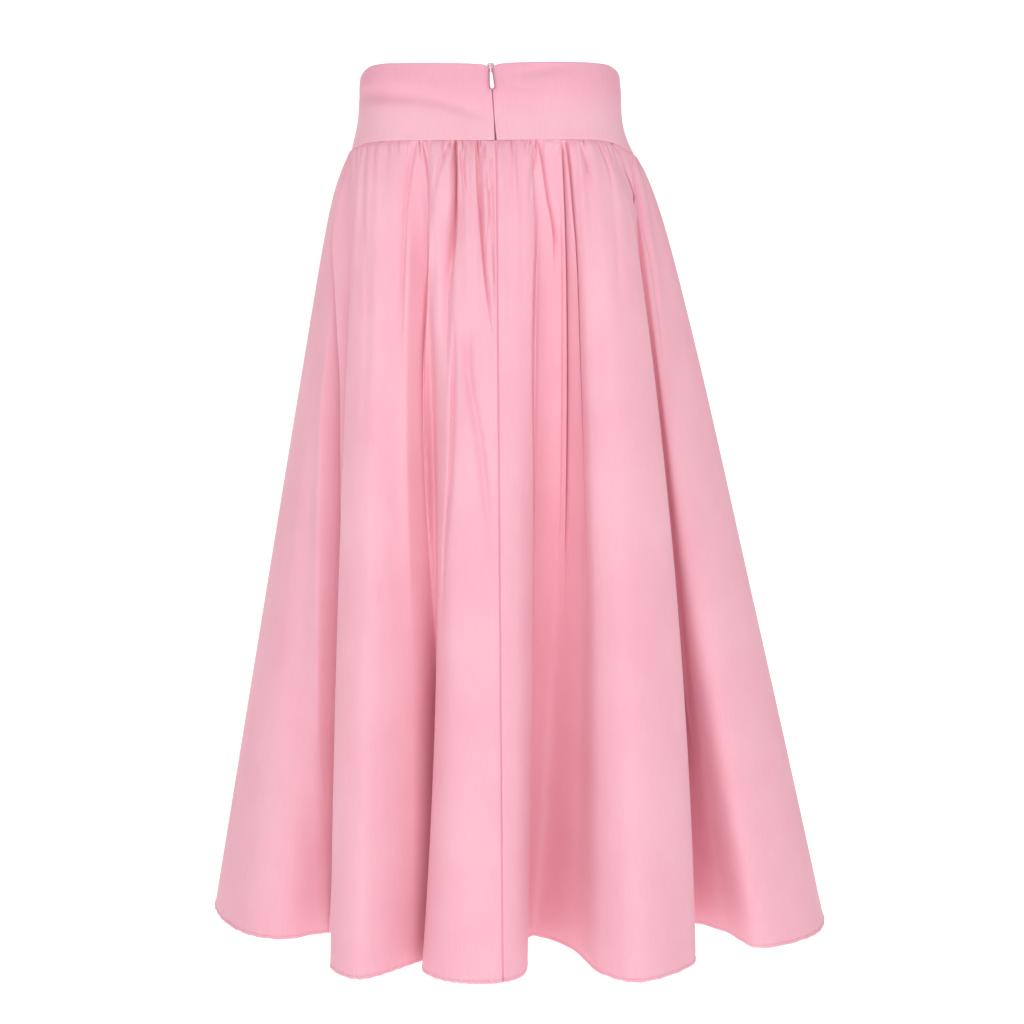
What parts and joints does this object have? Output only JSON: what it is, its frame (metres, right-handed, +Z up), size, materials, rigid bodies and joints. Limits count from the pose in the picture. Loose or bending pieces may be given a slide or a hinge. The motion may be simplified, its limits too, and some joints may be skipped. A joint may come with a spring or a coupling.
{
  "type": "gathered midi skirt",
  "caption": "Gathered midi skirt with a wide shaped waistband, deep soft folds and a concealed back zip with a teardrop pull.",
  "frame": {"origin": "centre of the waist opening, in the plane of the waistband's top edge, where the wearer holds the skirt up", "axes": "+Z up out of the waist; -Y is the back with the zip; +X is the wearer's right"},
  "size_m": [0.5683, 0.4391, 0.7708],
  "materials": {
    "band_cloth": "smooth matte plain weave, interfaced",
    "skirt_cloth": "smooth matte plain weave",
    "zip_tape": "knitted tape, matte",
    "zip_enamel": "glossy enamel on cast zinc"
  },
  "bodies": {
    "skirt": {"waistband_front": "band_cloth", "waistband_back_left": "band_cloth", "waistband_back_right": "band_cloth", "skirt_front": "skirt_cloth", "skirt_back_left": "skirt_cloth", "skirt_back_right": "skirt_cloth", "zip_tape_left": "zip_tape", "zip_tape_right": "zip_tape", "zip_slider": "zip_enamel"},
    "pull_tab": {"zip_pull": "zip_enamel"}
  },
  "joints": [
    {"name": "pull_swing", "type": "hinge", "parent": "skirt", "child": "pull_tab", "pos_m": [0.0014, -0.09555, -0.00437], "axis": [-1, 0, 0], "range_deg": [0, 160]}
  ]
}
